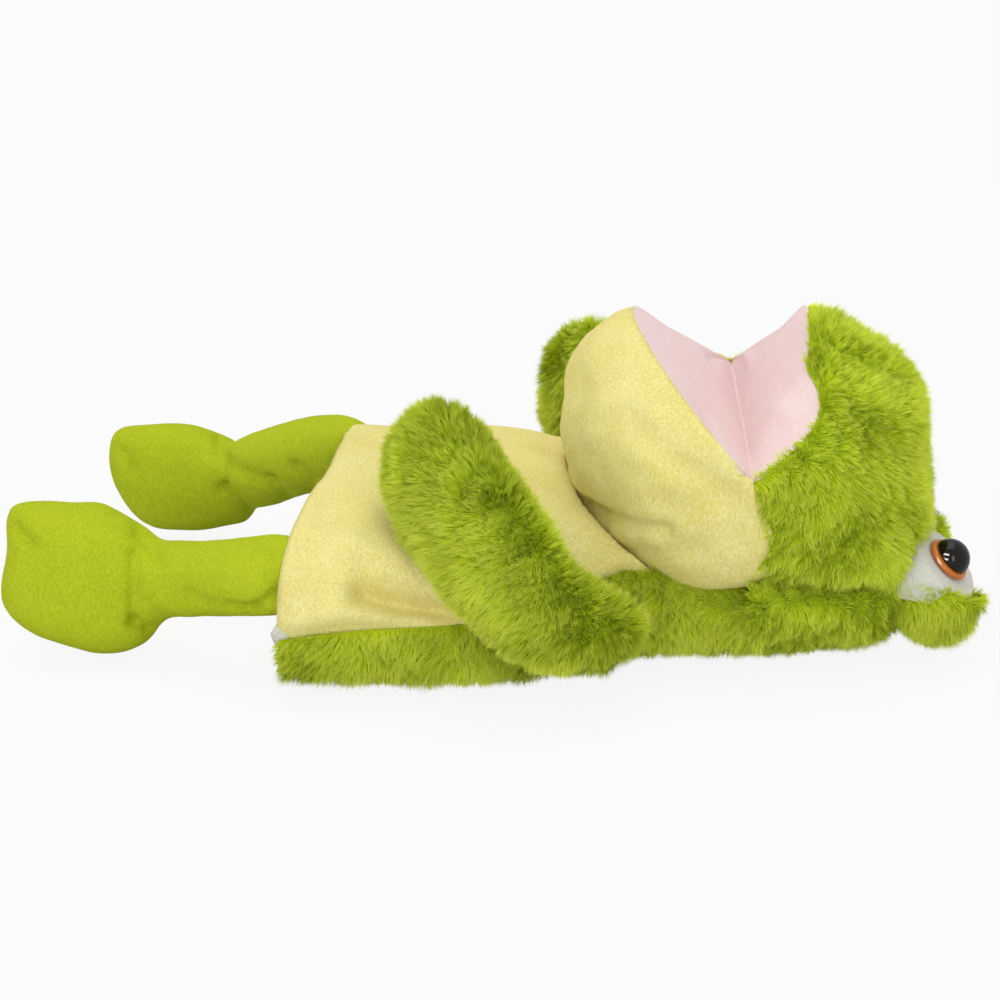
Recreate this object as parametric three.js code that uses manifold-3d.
// A frog hand puppet, lying on its back with its belly up and its mouth open.
// Millimetres. +X runs from the feet to the crown, +Y to the puppet's right, +Z up from back to belly.
// The origin is on the flat of the back, which the puppet lies on.
import * as THREE from "three";
import { mergeVertices } from "three/addons/utils/BufferGeometryUtils.js";
import Module from "manifold-3d";

const wasm = await Module();
wasm.setup();

// Cloth walls, each with its backing and its pile
const LONG_PILE_WALL = 6;
const SHORT_PILE_WALL = 3.5;
const EYE_CLOTH_WALL = 2;
const LINING_WALL = 1.2;
const MOUTH_CLOTH = 2;
const MOUTH_BOARD = 3;

// Clearances
const SEWN_GAP = 0.4;
const JOINT_GAP = 0.6;
const REST_CUT = 0.5;

// Mouth: both jaws open about one crease, which runs along Y
const CREASE_X = 96;
const CREASE_Z = 88;
const CREASE_BEAD = 0.9;
const MOUTH_HALF_WIDTH = 75;
const UPPER_LIP_ANGLE = 60;
const UPPER_LIP_DEPTH = 55;
const LOWER_LIP_ANGLE = 131;
const LOWER_LIP_DEPTH = 59;
const JAW_BACK_ANGLE = 268;
const THROAT_DEPTH = 52;

// Jaw: how far it reaches from the crease at each angle about it, and how square its sides are
const JAW_REACH = [
  [LOWER_LIP_ANGLE, LOWER_LIP_DEPTH],
  [141, 66.5],
  [165, 72.5],
  [190, 71],
  [215, 65],
  [240, 58],
  [JAW_BACK_ANGLE, THROAT_DEPTH],
];
const JAW_LIP_FULLNESS = 1.7;
const JAW_BACK_FULLNESS = 4;

// Head: the same, from the nape up over the crown to the upper lip
const NAPE_ANGLE = -90;
const HEAD_OVERHANG = 3;
const HEAD_HALF_WIDTH = MOUTH_HALF_WIDTH + HEAD_OVERHANG;
const HEAD_LIP_FULLNESS = 1.8;
const HEAD_BACK_FULLNESS = 2.5;
const HEAD_REACH = [
  [NAPE_ANGLE, CREASE_Z + REST_CUT],
  [-70, 94],
  [-56, 104],
  [-45, 102],
  [-32, 91],
  [-18, 80.5],
  [0, 75],
  [12, 74.5],
  [30, 65],
  [48, 59],
  [UPPER_LIP_ANGLE, UPPER_LIP_DEPTH],
];

// Hand pockets
const FINGER_DEPTH = 52;
const FINGER_SPAN = 72;
const FINGER_FLOOR = 16;
const FINGER_HEIGHT = 56;
const THUMB_DEPTH = 20;
const THUMB_SPAN = 44;
const THUMB_SETBACK = 12;
const THROAT_SPAN = 88;
const THROAT_LENGTH = 38;
const THROAT_RISE = 62;

// Glove: half width and height along X, from the hem to the neck
const HEM_X = -84;
const HEM_LEAN = 22;
const HEM_LEAN_RISE = 2.5;
const HEM_SKEW = 12;
const HEM_HEIGHT = 78;
const BELLY_X = 0;
const SHOULDER_X = 52;
const SIDE_SEAM_Z = 24;
const NECKLINE_X = 60;
const NECKLINE_RISE = 35;
const NECK_SEAM_Z = 45;
const LINING_SHOWS = 2;
const GLOVE_HALF_WIDTH = [
  [HEM_X, 86],
  [BELLY_X, 84],
  [SHOULDER_X, 66],
  [CREASE_X, 52],
];
const GLOVE_HEIGHT = [
  [HEM_X, HEM_HEIGHT],
  [BELLY_X, 76],
  [SHOULDER_X, 70],
  [CREASE_X, 60],
];
const BELLY_ROUNDNESS = 0.9;
const BACK_SQUARENESS = 0.42;

// Eyes: a plush ball on each side of the crown, with a plastic eye
const EYE_ANGLE = -40;
const EYE_Y = 35;
const LEFT_EYE_PROUD = 5;
const RIGHT_EYE_PROUD = 3;
const EYE_RADIUS = 19;
const EYE_TIP_FORWARD = 28;
const EYE_TIP_OUT = 16;
const LID_STEP = 1;
const LID_TILT = 36;
const EYE_SEAT = 15.5;
const IRIS_RADIUS = 9.5;
const IRIS_THICKNESS = 2.6;
const IRIS_BEVEL = 1;
const PUPIL_RADIUS = 7.9;
const PUPIL_HEIGHT = 5.4;
const SHANK_RADIUS = 2.3;
const SHANK_LENGTH = 10;
const WASHER_RADIUS = 7;
const WASHER_THICKNESS = 1.4;

// Limbs: [distance along the limb, half width, half thickness]
const ARM_STATIONS = [
  [0, 2.5, 2.5],
  [5, 11, 11],
  [14, 16, 16],
  [32, 21, 20.5],
  [60, 25, 22],
  [90, 28, 24],
  [112, 28.5, 23],
  [128, 24, 19],
  [137, 15, 13],
  [141, 5, 5],
];
const RAISED_ARM_STATIONS = [
  [0, 2.5, 2.5],
  [5, 10, 10],
  [16, 14, 14],
  [32, 19, 19],
  [50, 22.5, 22.5],
  [70, 23, 22.5],
  [86, 21, 20.5],
  [98, 15, 15],
  [104, 5, 5],
];
const LEG_STATIONS = [
  [0, 1.2, 1.2],
  [8, 8, 8],
  [20, 13.5, 13.5],
  [35, 15.5, 15.5],
  [55, 14.5, 14.5],
  [68, 13, 13],
  [74, 11.5, 11.5],
  [80.5, 1.2, 1.2],
];
const FOOT_STATIONS = [
  [0, 1.2, 1.2],
  [6, 21, 15],
  [12, 27.5, 17.5],
  [20, 30, 19],
  [32, 28.5, 19.5],
  [44, 26, 18],
  [53, 21, 13],
  [58, 12, 6],
];
const LEAST_FILL = 1;
const SLIT_LENGTH = 14;
const SLIT_WIDTH = 2;

// Left arm, laid over the belly: [x from the shoulder, degrees up from the side seam,
// distance from the cloth]
const SHOULDER_Z = 28;
const SHOULDER_GAP = 3;
const ARM_ROUTE = [
  [-16, 6, 13],
  [-37, 14, 19],
  [-56, 30, 21],
  [-68, 44, 20],
  [-75, 56, 18],
  [-79, 69, 17],
];

// Right arm, raised at the side: [x, y, z] from the shoulder
const RAISED_SHOULDER_X = 50;
const RAISED_SHOULDER_Z = 26;
const RAISED_ARM_ROUTE = [
  [0, 0, 0],
  [4, 12.5, -1],
  [1, 28, 1],
  [-7, 40, 12],
  [-12, 44, 28],
  [-13, 44, 46],
  [-13, 43, 67],
];

// Legs and feet: [x, y, z] from the hip at the hem's seam, and from the ankle
const LEFT_HIP_Y = -48;
const HIP_GAP = 1.6;
const LEFT_LEG_ROUTE = [
  [0, 0, 0],
  [-5, 1, -11],
  [-16, 5, -22],
  [-34, 12, -29],
  [-58, 20, -31],
];
const RIGHT_HIP_Y = 48;
const RIGHT_LEG_ROUTE = [
  [0, 0, 0],
  [-6, 2, -10],
  [-21, 14, -20],
  [-40, 39, -28],
];
const LEFT_FOOT_ROUTE = [
  [0, 0, 0],
  [-20, 0, -3],
  [-40, 0, -1],
  [-58, 0, 2],
];
const LEFT_FOOT_WIDE = [0, 0, 1];
const RIGHT_FOOT_ROUTE = [
  [0, 0, 0],
  [-19, 8, -5],
  [-38, 15, -9],
  [-56, 20, -11],
];
const RIGHT_FOOT_WIDE = [0.35, 0.85, 0.4];
const ANKLE_GAP = 0.8;

// Facets
const GLOVE_SIDES = 28;
const GLOVE_STATIONS = 8;
const SECTOR_STEPS = 15;
const SECTOR_STATIONS = 11;
const SECTOR_END_TILT = 83;
const LIMB_SIDES = 12;
const EYE_SIDES = 20;
const ROD_SIDES = 12;
const ARC_STEPS = 8;

// How far cutters run past what they cut
const OVERRUN = 14;
const FAR = 400;

const radians = THREE.MathUtils.degToRad;

// A value at x on a smooth curve through [x, value] pairs, level beyond both ends
function through(pairs, x) {
  const last = pairs.length - 1;
  if (x <= pairs[0][0]) return pairs[0][1];
  if (x >= pairs[last][0]) return pairs[last][1];
  const i = pairs.findIndex(([at]) => at > x) - 1;
  const slope = (k) => {
    const before = pairs[Math.max(k - 1, 0)];
    const after = pairs[Math.min(k + 1, last)];
    return (after[1] - before[1]) / (after[0] - before[0]);
  };
  const [x0, y0] = pairs[i];
  const [x1, y1] = pairs[i + 1];
  const span = x1 - x0;
  const t = (x - x0) / span;
  const bend = t * t * (3 - 2 * t);
  const entry = t * (1 - t) * (1 - t) * span * slope(i);
  const exit = t * t * (t - 1) * span * slope(i + 1);
  return y0 + (y1 - y0) * bend + entry + exit;
}

// A closed surface through rings of equal point counts, with a fan over each end
function loft(rings) {
  const sides = rings[0].length;
  const positions = rings.flat().flatMap((point) => point.toArray());
  const triangles = [];
  for (let r = 0; r < rings.length - 1; r++) {
    for (let s = 0; s < sides; s++) {
      const a = r * sides + s;
      const b = r * sides + ((s + 1) % sides);
      triangles.push([a, b, b + sides], [a, b + sides, a + sides]);
    }
  }
  const top = (rings.length - 1) * sides;
  for (let s = 1; s < sides - 1; s++) {
    triangles.push([0, s + 1, s], [top, top + s, top + s + 1]);
  }
  const corner = (index) => new THREE.Vector3().fromArray(positions, index * 3);
  const volume = triangles.reduce(
    (sum, [a, b, c]) => sum + corner(a).dot(corner(b).cross(corner(c))), 0);
  const facing = volume < 0 ? triangles.map(([a, b, c]) => [a, c, b]) : triangles;
  const geometry = new THREE.BufferGeometry();
  geometry.setAttribute("position", new THREE.Float32BufferAttribute(positions, 3));
  geometry.setIndex(facing.flat());
  return geometry;
}

function solid(geometry) {
  const bare = geometry.clone();
  for (const name of Object.keys(bare.attributes)) {
    if (name !== "position") bare.deleteAttribute(name);
  }
  const merged = mergeVertices(bare);
  const vertProperties = new Float32Array(merged.getAttribute("position").array);
  const triVerts = new Uint32Array(merged.index.array);
  return new wasm.Manifold(new wasm.Mesh({ numProp: 3, vertProperties, triVerts }));
}

function geometryOf(shape) {
  const { vertProperties, triVerts } = shape.getMesh();
  const geometry = new THREE.BufferGeometry();
  geometry.setAttribute("position", new THREE.BufferAttribute(vertProperties, 3));
  geometry.setIndex(new THREE.BufferAttribute(triVerts, 1));
  const faceted = geometry.toNonIndexed();
  faceted.computeVertexNormals();
  return faceted;
}

// A block between two corners, as a cutter
function block(low, high) {
  const size = high.map((value, axis) => value - low[axis]);
  const box = new THREE.BoxGeometry(...size);
  box.translate(...high.map((value, axis) => (value + low[axis]) / 2));
  return solid(box);
}

const aboveFloor = block([-FAR, -FAR, 0], [FAR, FAR, FAR]);

// Finishes
const finish = (color, roughness) => new THREE.MeshStandardMaterial({ color, roughness, metalness: 0 });
const greenPlush = finish(0x92a327, 0.95);
const greenVelour = finish(0xaebb22, 0.9);
const yellowPlush = finish(0xe9dd8b, 0.92);
const pinkPlush = finish(0xecd4d1, 0.92);
const whiteCloth = finish(0xd2cfc5, 0.9);
const fibreFill = finish(0xf2f0ea, 1);
const greyBoard = finish(0xb9b4a8, 0.8);
const amberPlastic = finish(0xd67e30, 0.25);
const blackPlastic = finish(0x14120f, 0.12);
const clearPlastic = finish(0xdcdcd6, 0.4);

function piece(group, name, shape, material) {
  const geometry = shape.isBufferGeometry ? shape : geometryOf(shape);
  const mesh = new THREE.Mesh(geometry, material);
  mesh.name = name;
  group.add(mesh);
  return mesh;
}

// Mouth sectors

const jawFullness = (angle) => THREE.MathUtils.mapLinear(
  angle, LOWER_LIP_ANGLE, JAW_BACK_ANGLE, JAW_LIP_FULLNESS, JAW_BACK_FULLNESS);
const headFullness = (angle) => THREE.MathUtils.mapLinear(
  Math.max(angle, 0), 0, UPPER_LIP_ANGLE, HEAD_BACK_FULLNESS, HEAD_LIP_FULLNESS);

// How far a jaw reaches from the crease at an angle and at a share of its half width
function reachAt(reach, fullness, angle, share) {
  const power = fullness(angle);
  return through(reach, angle) * (1 - Math.abs(share) ** power) ** (1 / power);
}

// A sector of a pillow about the crease: at each y, the crease and an arc that shrinks towards the corners
function sector({ reach, fullness, halfWidth }, from, to, grow) {
  const rings = [];
  for (let j = 0; j < SECTOR_STATIONS; j++) {
    const tilt = SECTOR_END_TILT * ((2 * j) / (SECTOR_STATIONS - 1) - 1);
    const share = Math.sin(radians(tilt));
    const y = share * (halfWidth + grow);
    const ring = [new THREE.Vector3(CREASE_X, y, CREASE_Z)];
    for (let i = 0; i <= SECTOR_STEPS; i++) {
      const angle = THREE.MathUtils.lerp(from, to, i / SECTOR_STEPS);
      const full = through(reach, angle);
      const radius = reachAt(reach, fullness, angle, share) * ((full + grow) / full);
      const x = CREASE_X + radius * Math.cos(radians(angle));
      const z = CREASE_Z + radius * Math.sin(radians(angle));
      ring.push(new THREE.Vector3(x, y, z));
    }
    rings.push(ring);
  }
  return loft(rings);
}

const jawForm = { reach: JAW_REACH, fullness: jawFullness, halfWidth: MOUTH_HALF_WIDTH };
const headForm = { reach: HEAD_REACH, fullness: headFullness, halfWidth: HEAD_HALF_WIDTH };

// A slab along a mouth face, from one depth to another behind it
function mouthSlab(angle, inward, near, deep) {
  const slab = new THREE.BoxGeometry(2 * FAR, 2 * FAR, deep - near);
  slab.translate(0, 0, (inward * (near + deep)) / 2);
  slab.rotateY(-radians(angle));
  slab.translate(CREASE_X, 0, CREASE_Z);
  return solid(slab);
}

function creaseRod(radius, halfLength) {
  const rod = new THREE.CylinderGeometry(radius, radius, 2 * halfLength, ROD_SIDES);
  rod.translate(CREASE_X, 0, CREASE_Z);
  return rod;
}

const creaseRoom = solid(creaseRod(CREASE_BEAD + JOINT_GAP, FAR));
const boardTop = MOUTH_CLOTH + SEWN_GAP;
const boardBack = boardTop + MOUTH_BOARD;
const fillTop = boardBack + SEWN_GAP;

// Head, on the fingers

const head = new THREE.Group();
const neckFace = CREASE_X + JOINT_GAP / 2;
const aheadOfNeck = block([neckFace, -FAR, -FAR], [FAR, FAR, FAR]);
const headOuter = sector(headForm, NAPE_ANGLE, UPPER_LIP_ANGLE, 0);
const headRoom = solid(sector(headForm, NAPE_ANGLE - OVERRUN, UPPER_LIP_ANGLE + OVERRUN, -LONG_PILE_WALL));
const headFill = solid(
  sector(headForm, NAPE_ANGLE - OVERRUN, UPPER_LIP_ANGLE + OVERRUN, -LONG_PILE_WALL - SEWN_GAP))
  .intersect(aheadOfNeck)
  .intersect(aboveFloor)
  .subtract(creaseRoom);

const fingerTop = FINGER_FLOOR + FINGER_HEIGHT;
const fingerEnd = CREASE_X + FINGER_DEPTH;
function fingerBlock(inset, start) {
  return block(
    [start, inset - FINGER_SPAN / 2, FINGER_FLOOR + inset],
    [fingerEnd - inset, FINGER_SPAN / 2 - inset, fingerTop - inset]);
}
const fingerSleeve = fingerBlock(SEWN_GAP, neckFace + SEWN_GAP)
  .subtract(fingerBlock(SEWN_GAP + LINING_WALL, neckFace - SEWN_GAP));

const headCover = solid(headOuter)
  .intersect(aboveFloor)
  .intersect(aheadOfNeck)
  .subtract(headRoom)
  .subtract(creaseRoom);
piece(head, "head_cover", headCover, greenPlush);
piece(head, "palate_lining", headFill.intersect(mouthSlab(UPPER_LIP_ANGLE, -1, 0, MOUTH_CLOTH)), pinkPlush);
piece(
  head,
  "palate_board",
  headFill.intersect(mouthSlab(UPPER_LIP_ANGLE, -1, boardTop, boardBack)),
  greyBoard);
piece(
  head,
  "head_stuffing",
  headFill.intersect(mouthSlab(UPPER_LIP_ANGLE, -1, fillTop, FAR)).subtract(fingerBlock(0, 0)),
  fibreFill);
piece(head, "finger_pocket", fingerSleeve, whiteCloth);
piece(head, "crease_seam", creaseRod(CREASE_BEAD, MOUTH_HALF_WIDTH - LONG_PILE_WALL), pinkPlush);

// Jaw, on the thumb

const jaw = new THREE.Group();
const jawOuter = solid(sector(jawForm, LOWER_LIP_ANGLE, JAW_BACK_ANGLE, 0));
const jawRoom = solid(sector(jawForm, LOWER_LIP_ANGLE - OVERRUN, JAW_BACK_ANGLE + OVERRUN, -SHORT_PILE_WALL));
const jawKeepOut = solid(sector(jawForm, LOWER_LIP_ANGLE - OVERRUN, JAW_BACK_ANGLE + OVERRUN, JOINT_GAP));
const jawFill = solid(
  sector(jawForm, LOWER_LIP_ANGLE - OVERRUN, JAW_BACK_ANGLE + OVERRUN, -SHORT_PILE_WALL - SEWN_GAP))
  .intersect(solid(sector(jawForm, LOWER_LIP_ANGLE - OVERRUN, JAW_BACK_ANGLE, 0)))
  .subtract(creaseRoom);

const thumbFront = CREASE_X - THUMB_SETBACK;
function thumbBlock(inset, floor) {
  return block(
    [thumbFront - THUMB_DEPTH + inset, inset - THUMB_SPAN / 2, floor],
    [thumbFront - inset, THUMB_SPAN / 2 - inset, CREASE_Z - inset]);
}
const throat = block(
  [CREASE_X - THROAT_LENGTH, -THROAT_SPAN / 2, 0],
  [CREASE_X, THROAT_SPAN / 2, THROAT_RISE]);
const thumbMouth = CREASE_Z - THROAT_DEPTH + SHORT_PILE_WALL;
const thumbSleeve = thumbBlock(SEWN_GAP, thumbMouth)
  .subtract(thumbBlock(SEWN_GAP + LINING_WALL, 0));

piece(jaw, "jaw_cover", jawOuter.subtract(jawRoom).subtract(throat).subtract(creaseRoom), yellowPlush);
piece(jaw, "jaw_lining", jawFill.intersect(mouthSlab(LOWER_LIP_ANGLE, 1, 0, MOUTH_CLOTH)), pinkPlush);
piece(jaw, "jaw_board", jawFill.intersect(mouthSlab(LOWER_LIP_ANGLE, 1, boardTop, boardBack)), greyBoard);
piece(
  jaw,
  "jaw_stuffing",
  jawFill.intersect(mouthSlab(LOWER_LIP_ANGLE, 1, fillTop, FAR)).subtract(thumbBlock(0, 0)),
  fibreFill);
piece(jaw, "thumb_pocket", thumbSleeve, whiteCloth);

// Glove, on the hand

const glove = new THREE.Group();
const gloveEnd = CREASE_X - JOINT_GAP / 2;

// The hem leans, so that the belly ends ahead of the back, and is pulled askew across the belly
function leanAt(x, y, z) {
  const share = THREE.MathUtils.clamp((BELLY_X - x) / (BELLY_X - HEM_X), 0, 1);
  const height = Math.max(z / HEM_HEIGHT, 0);
  const across = y / through(GLOVE_HALF_WIDTH, HEM_X);
  return (HEM_LEAN * height ** HEM_LEAN_RISE + HEM_SKEW * across * height) * share;
}

function gloveRing(x, sideInset, bellyInset, backInset) {
  const half = through(GLOVE_HALF_WIDTH, x) - sideInset;
  const rise = through(GLOVE_HEIGHT, x) - bellyInset - SIDE_SEAM_Z;
  const drop = SIDE_SEAM_Z + REST_CUT - backInset;
  const ring = [];
  for (let s = 0; s < GLOVE_SIDES; s++) {
    const turn = (2 * Math.PI * s) / GLOVE_SIDES;
    const across = Math.cos(turn);
    const up = Math.sin(turn);
    const power = up >= 0 ? BELLY_ROUNDNESS : BACK_SQUARENESS;
    const lift = Math.abs(up) ** power * (up >= 0 ? rise : -drop);
    const y = half * Math.sign(across) * Math.abs(across) ** power;
    const z = SIDE_SEAM_Z + lift;
    ring.push(new THREE.Vector3(x + leanAt(x, y, z), y, z));
  }
  return ring;
}

// A tube through the glove's own stations between two ends
function gloveTube(from, to, sideInset, bellyInset, backInset) {
  const stations = [from];
  for (let i = 0; i <= GLOVE_STATIONS; i++) {
    const x = THREE.MathUtils.lerp(HEM_X, gloveEnd, i / GLOVE_STATIONS);
    if (x > from && x < to) stations.push(x);
  }
  stations.push(to);
  return solid(loft(stations.map((x) => gloveRing(x, sideInset, bellyInset, backInset))));
}

// A prism through the whole width, from an outline of [x, z] corners
function crosswise(corners) {
  const outline = new THREE.Shape(corners.map(([x, z]) => new THREE.Vector2(x, z)));
  const prism = new THREE.ExtrudeGeometry(outline, { depth: 2 * FAR, bevelEnabled: false });
  prism.rotateX(Math.PI / 2);
  prism.translate(0, FAR, 0);
  return solid(prism);
}

const seamStart = NECKLINE_X - NECKLINE_RISE;
const halfGap = SEWN_GAP / 2;
const gloveOuter = gloveTube(HEM_X, gloveEnd, 0, 0, 0).intersect(aboveFloor);
const gloveRoom = gloveTube(
  HEM_X - OVERRUN, gloveEnd + OVERRUN, LONG_PILE_WALL, SHORT_PILE_WALL, LONG_PILE_WALL);
const gloveWall = gloveOuter.subtract(gloveRoom).subtract(jawKeepOut);
const bellySide = crosswise([
  [-FAR, SIDE_SEAM_Z + halfGap],
  [seamStart, SIDE_SEAM_Z + halfGap],
  [NECKLINE_X, NECK_SEAM_Z + halfGap],
  [NECKLINE_X, FAR],
  [-FAR, FAR],
]);
const backSide = crosswise([
  [-FAR, -FAR],
  [FAR, -FAR],
  [FAR, NECK_SEAM_Z - halfGap],
  [NECKLINE_X, NECK_SEAM_Z - halfGap],
  [seamStart, SIDE_SEAM_Z - halfGap],
  [-FAR, SIDE_SEAM_Z - halfGap],
]);
piece(glove, "back_panel", gloveWall.intersect(backSide), greenPlush);
piece(glove, "belly_panel", gloveWall.intersect(bellySide), yellowPlush);

const liningSide = LONG_PILE_WALL + SEWN_GAP;
const liningTop = SHORT_PILE_WALL + SEWN_GAP;
const liningTube = gloveTube(HEM_X - LINING_SHOWS, NECKLINE_X, liningSide, liningTop, liningSide)
  .subtract(gloveTube(
    HEM_X - OVERRUN, NECKLINE_X + OVERRUN,
    liningSide + LINING_WALL, liningTop + LINING_WALL, liningSide + LINING_WALL))
  .subtract(jawKeepOut);
piece(glove, "glove_lining", liningTube, whiteCloth);

// Eyes, each built about its own axis and turned to look up and outwards

const eyeWhiteRadius = EYE_RADIUS - LID_STEP;
const eyeInside = eyeWhiteRadius - EYE_CLOTH_WALL;
const eyeFill = eyeInside - SEWN_GAP;
const seatInside = EYE_SEAT - EYE_CLOTH_WALL;
const washerTop = seatInside - SEWN_GAP;
const fillSeat = washerTop - WASHER_THICKNESS - SEWN_GAP;
const irisBottom = EYE_SEAT + SEWN_GAP;
const irisTop = irisBottom + IRIS_THICKNESS;
const shankEnd = irisBottom - SHANK_LENGTH;
const shankRoom = SHANK_RADIUS + SEWN_GAP;

// Points of a circular arc between two heights, on one side of the axis
function arc(radius, fromZ, toZ) {
  const from = Math.asin(fromZ / radius);
  const to = Math.asin(toZ / radius);
  const points = [];
  for (let i = 0; i <= ARC_STEPS; i++) {
    const angle = THREE.MathUtils.lerp(from, to, i / ARC_STEPS);
    const across = Math.max(radius * Math.cos(angle), 0);
    points.push(new THREE.Vector2(across < 1e-6 ? 0 : across, radius * Math.sin(angle)));
  }
  return points;
}

const at = (radius, z) => new THREE.Vector2(radius, z);

// A turned solid about +Z from a profile of radius and height
function turned(profile) {
  const shape = new THREE.LatheGeometry(profile, EYE_SIDES);
  shape.rotateX(Math.PI / 2);
  return solid(shape);
}

// Half of everything on one side of the eye's equator, which is tipped towards the crown
function eyeHalf(side) {
  const half = new THREE.BoxGeometry(2 * FAR, 2 * FAR, FAR);
  half.translate(0, 0, side * (FAR / 2 + halfGap));
  half.rotateY(-radians(LID_TILT));
  return solid(half);
}

// A plush ball along its eye's axis, flat under the plastic eye
const eyeBall = (radius, top) => turned([...arc(radius, -radius, top), at(0, top)]);
const shankHole = (bottom) => turned([
  at(0, bottom),
  at(shankRoom, bottom),
  at(shankRoom, FAR),
  at(0, FAR),
]);

function eye(side, name, proud) {
  const share = EYE_Y / HEAD_HALF_WIDTH;
  const out = reachAt(HEAD_REACH, headFullness, EYE_ANGLE, share) + proud;
  const group = new THREE.Group();
  group.position.set(
    CREASE_X + out * Math.cos(radians(EYE_ANGLE)),
    side * EYE_Y,
    CREASE_Z + out * Math.sin(radians(EYE_ANGLE)));
  const gaze = new THREE.Vector3(
    Math.sin(radians(EYE_TIP_FORWARD)), side * Math.sin(radians(EYE_TIP_OUT)), 1);
  group.quaternion.setFromUnitVectors(new THREE.Vector3(0, 0, 1), gaze.normalize());
  group.updateMatrix();
  const intoEye = group.matrix.clone().invert();
  const headKeepOut = solid(
    sector(headForm, NAPE_ANGLE, UPPER_LIP_ANGLE, SEWN_GAP).applyMatrix4(intoEye));

  const inside = eyeBall(eyeInside, seatInside);
  const lid = eyeBall(EYE_RADIUS, EYE_SEAT).subtract(inside).intersect(eyeHalf(-1));
  piece(group, `eye_lid_${name}`, lid.subtract(headKeepOut), greenPlush);
  const white = eyeBall(eyeWhiteRadius, EYE_SEAT)
    .subtract(inside)
    .subtract(shankHole(0))
    .intersect(eyeHalf(1));
  piece(group, `eye_white_${name}`, white.subtract(headKeepOut), whiteCloth);
  const fill = eyeBall(eyeFill, (seatInside * eyeFill) / eyeInside)
    .subtract(block([-FAR, -FAR, fillSeat], [FAR, FAR, FAR]))
    .subtract(shankHole(shankEnd - SEWN_GAP));
  piece(group, `eye_stuffing_${name}`, fill.subtract(headKeepOut), fibreFill);
  const washer = turned([
    at(shankRoom, washerTop),
    at(shankRoom, washerTop - WASHER_THICKNESS),
    at(WASHER_RADIUS, washerTop - WASHER_THICKNESS),
    at(WASHER_RADIUS, washerTop),
    at(shankRoom, washerTop),
  ]);
  piece(group, `eye_washer_${name}`, washer, clearPlastic);
  const iris = turned([
    at(0, shankEnd),
    at(SHANK_RADIUS, shankEnd),
    at(SHANK_RADIUS, irisBottom),
    at(IRIS_RADIUS - IRIS_BEVEL, irisBottom),
    at(IRIS_RADIUS, irisBottom + IRIS_BEVEL),
    at(IRIS_RADIUS - IRIS_BEVEL, irisTop),
    at(0, irisTop),
  ]);
  piece(group, `eye_iris_${name}`, iris, amberPlastic);
  const domeRadius = (PUPIL_RADIUS ** 2 + PUPIL_HEIGHT ** 2) / (2 * PUPIL_HEIGHT);
  const domeCentre = irisTop + SEWN_GAP + PUPIL_HEIGHT - domeRadius;
  const dome = arc(domeRadius, domeRadius - PUPIL_HEIGHT, domeRadius)
    .map((point) => at(point.x, point.y + domeCentre));
  piece(group, `eye_pupil_${name}`, turned([at(0, irisTop + SEWN_GAP), ...dome]), blackPlastic);
  return group;
}
head.add(eye(-1, "left", LEFT_EYE_PROUD), eye(1, "right", RIGHT_EYE_PROUD));

// Limbs: a sewn cover with a stuffing slit, and the fill inside it

// Rings across a path, each as wide along `wideAxis` and as thick across it as its station says
function limbRings(path, stations, wideAxis, inset, end) {
  const rings = [];
  for (const [distance, wide, thick] of stations) {
    const share = THREE.MathUtils.clamp(distance, inset, end - inset) / end;
    const centre = path.getPointAt(share);
    const along = path.getTangentAt(share);
    const across = new THREE.Vector3().crossVectors(along, wideAxis).normalize();
    const wideWay = new THREE.Vector3().crossVectors(across, along);
    const ring = [];
    for (let s = 0; s < LIMB_SIDES; s++) {
      const turn = (2 * Math.PI * s) / LIMB_SIDES;
      const point = centre.clone()
        .addScaledVector(wideWay, (wide - inset) * Math.cos(turn))
        .addScaledVector(across, (thick - inset) * Math.sin(turn));
      ring.push(point);
    }
    rings.push(ring);
  }
  return rings;
}

// The slit that a limb is stuffed through, across its cover half way along
function stuffingSlit(path, wideAxis, reach) {
  const middle = 0.5;
  const along = path.getTangentAt(middle);
  const across = new THREE.Vector3().crossVectors(along, wideAxis).normalize();
  const wideWay = new THREE.Vector3().crossVectors(across, along);
  const slit = new THREE.BoxGeometry(SLIT_LENGTH, SLIT_WIDTH, reach);
  slit.translate(0, 0, reach / 2);
  const place = new THREE.Matrix4().makeBasis(along, wideWay, across);
  place.setPosition(path.getPointAt(middle));
  slit.applyMatrix4(place);
  return solid(slit);
}

function limb(name, points, stations, wideAxis, wall, material, keepOut) {
  const group = new THREE.Group();
  const path = new THREE.CatmullRomCurve3(points);
  const end = stations[stations.length - 1][0];
  const stuffed = stations.filter(([, wide, thick]) => Math.min(wide, thick) > wall + SEWN_GAP + LEAST_FILL);
  const form = (from, inset) => solid(loft(limbRings(path, from, wideAxis, inset, end)));
  const reach = 2 * Math.max(...stations.map(([, , thick]) => thick));
  const clear = (shape, more) => (keepOut ? shape.subtract(keepOut(more)) : shape);
  const outer = clear(form(stations, 0), 0).intersect(aboveFloor);
  const room = clear(form(stuffed, wall), wall);
  const fill = clear(form(stuffed, wall + SEWN_GAP), wall + SEWN_GAP);
  piece(group, `${name}_cover`, outer.subtract(room).subtract(stuffingSlit(path, wideAxis, reach)), material);
  piece(group, `${name}_stuffing`, fill, fibreFill);
  return group;
}

// A point off the glove's belly: x, degrees up from the side seam and distance from the cloth
function offBelly(side, x, degrees, distance) {
  const half = through(GLOVE_HALF_WIDTH, x);
  const rise = through(GLOVE_HEIGHT, x) - SIDE_SEAM_Z;
  const across = Math.cos(radians(degrees));
  const up = Math.sin(radians(degrees));
  const normal = new THREE.Vector2(across / half, up / rise).normalize();
  const y = half * across + distance * normal.x;
  const z = SIDE_SEAM_Z + rise * up ** BELLY_ROUNDNESS + distance * normal.y;
  return new THREE.Vector3(x, side * y, z);
}

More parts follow.
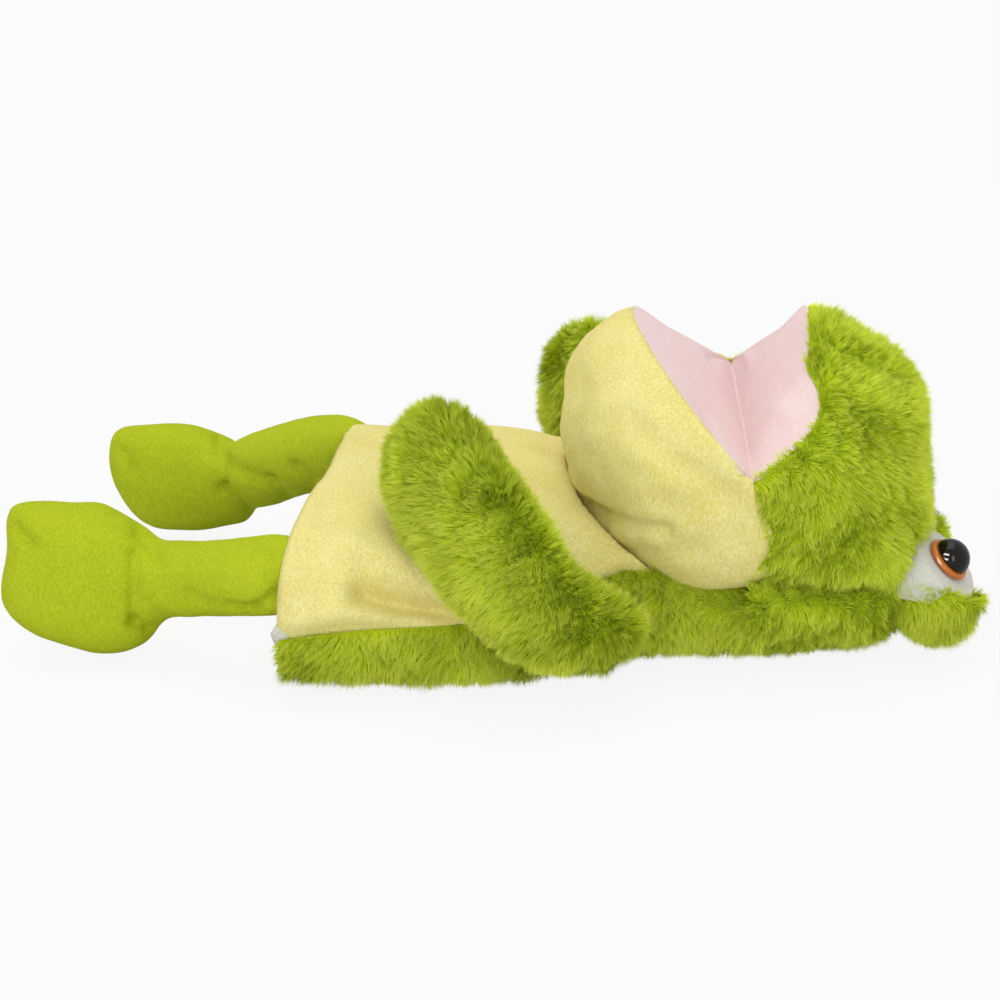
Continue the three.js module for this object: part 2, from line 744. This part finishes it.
const gloveKeepOut = (more) => gloveTube(
  HEM_X, gloveEnd, -SEWN_GAP - more, -SEWN_GAP - more, -SEWN_GAP - more);
const upward = new THREE.Vector3(0, 0, 1);
const forward = new THREE.Vector3(1, 0, 0);

const leftShoulder = new THREE.Vector3(
  SHOULDER_X, -through(GLOVE_HALF_WIDTH, SHOULDER_X) - SHOULDER_GAP, SHOULDER_Z);
const leftArmPath = [
  leftShoulder,
  ...ARM_ROUTE.map(([x, degrees, distance]) => offBelly(-1, SHOULDER_X + x, degrees, distance)),
];
const leftArm = limb(
  "arm_left", leftArmPath, ARM_STATIONS, upward, LONG_PILE_WALL, greenPlush, gloveKeepOut);

const routeFrom = (start, route) => route.map((step) => new THREE.Vector3(...step).add(start));

const rightShoulder = new THREE.Vector3(
  RAISED_SHOULDER_X, through(GLOVE_HALF_WIDTH, RAISED_SHOULDER_X) + JOINT_GAP, RAISED_SHOULDER_Z);
const rightArm = limb(
  "arm_right", routeFrom(rightShoulder, RAISED_ARM_ROUTE), RAISED_ARM_STATIONS, forward,
  LONG_PILE_WALL, greenPlush, gloveKeepOut);

// A hip lies just outside the hem, on the seam of the belly and its lining
function hipPoint(y) {
  const half = through(GLOVE_HALF_WIDTH, HEM_X) - LONG_PILE_WALL;
  const rise = HEM_HEIGHT - SHORT_PILE_WALL - SIDE_SEAM_Z;
  const z = SIDE_SEAM_Z + rise * Math.sqrt(1 - (y / half) ** 2);
  return new THREE.Vector3(HEM_X - LINING_SHOWS - HIP_GAP + leanAt(HEM_X, y, z), y, z);
}

// The cloth of the glove about the hem, with room around it
const hemKeepOut = (more) => gloveTube(
  HEM_X - LINING_SHOWS - SEWN_GAP - more, BELLY_X, -SEWN_GAP - more, -SEWN_GAP - more, -SEWN_GAP - more)
  .subtract(gloveTube(
    HEM_X - FAR, BELLY_X,
    liningSide + LINING_WALL + SEWN_GAP + more,
    liningTop + LINING_WALL + SEWN_GAP + more,
    liningSide + LINING_WALL + SEWN_GAP + more));

function legAndFoot(name, hip, legRoute, footRoute, footWide) {
  const legPath = routeFrom(hip, legRoute);
  const [shin, heel] = legPath.slice(-2);
  const along = heel.clone().sub(shin).normalize();
  const ankle = heel.clone().addScaledVector(along, ANKLE_GAP);
  return [
    limb(`leg_${name}`, legPath, LEG_STATIONS, upward, SHORT_PILE_WALL, greenVelour, hemKeepOut),
    limb(
      `foot_${name}`, routeFrom(ankle, footRoute), FOOT_STATIONS, new THREE.Vector3(...footWide),
      SHORT_PILE_WALL, greenVelour),
  ];
}
const leftLeg = legAndFoot(
  "left", hipPoint(LEFT_HIP_Y), LEFT_LEG_ROUTE, LEFT_FOOT_ROUTE, LEFT_FOOT_WIDE);
const rightLeg = legAndFoot(
  "right", hipPoint(RIGHT_HIP_Y), RIGHT_LEG_ROUTE, RIGHT_FOOT_ROUTE, RIGHT_FOOT_WIDE);

const puppet = new THREE.Group();
puppet.add(glove, head, jaw, leftArm, rightArm, ...leftLeg, ...rightLeg);

export default puppet;
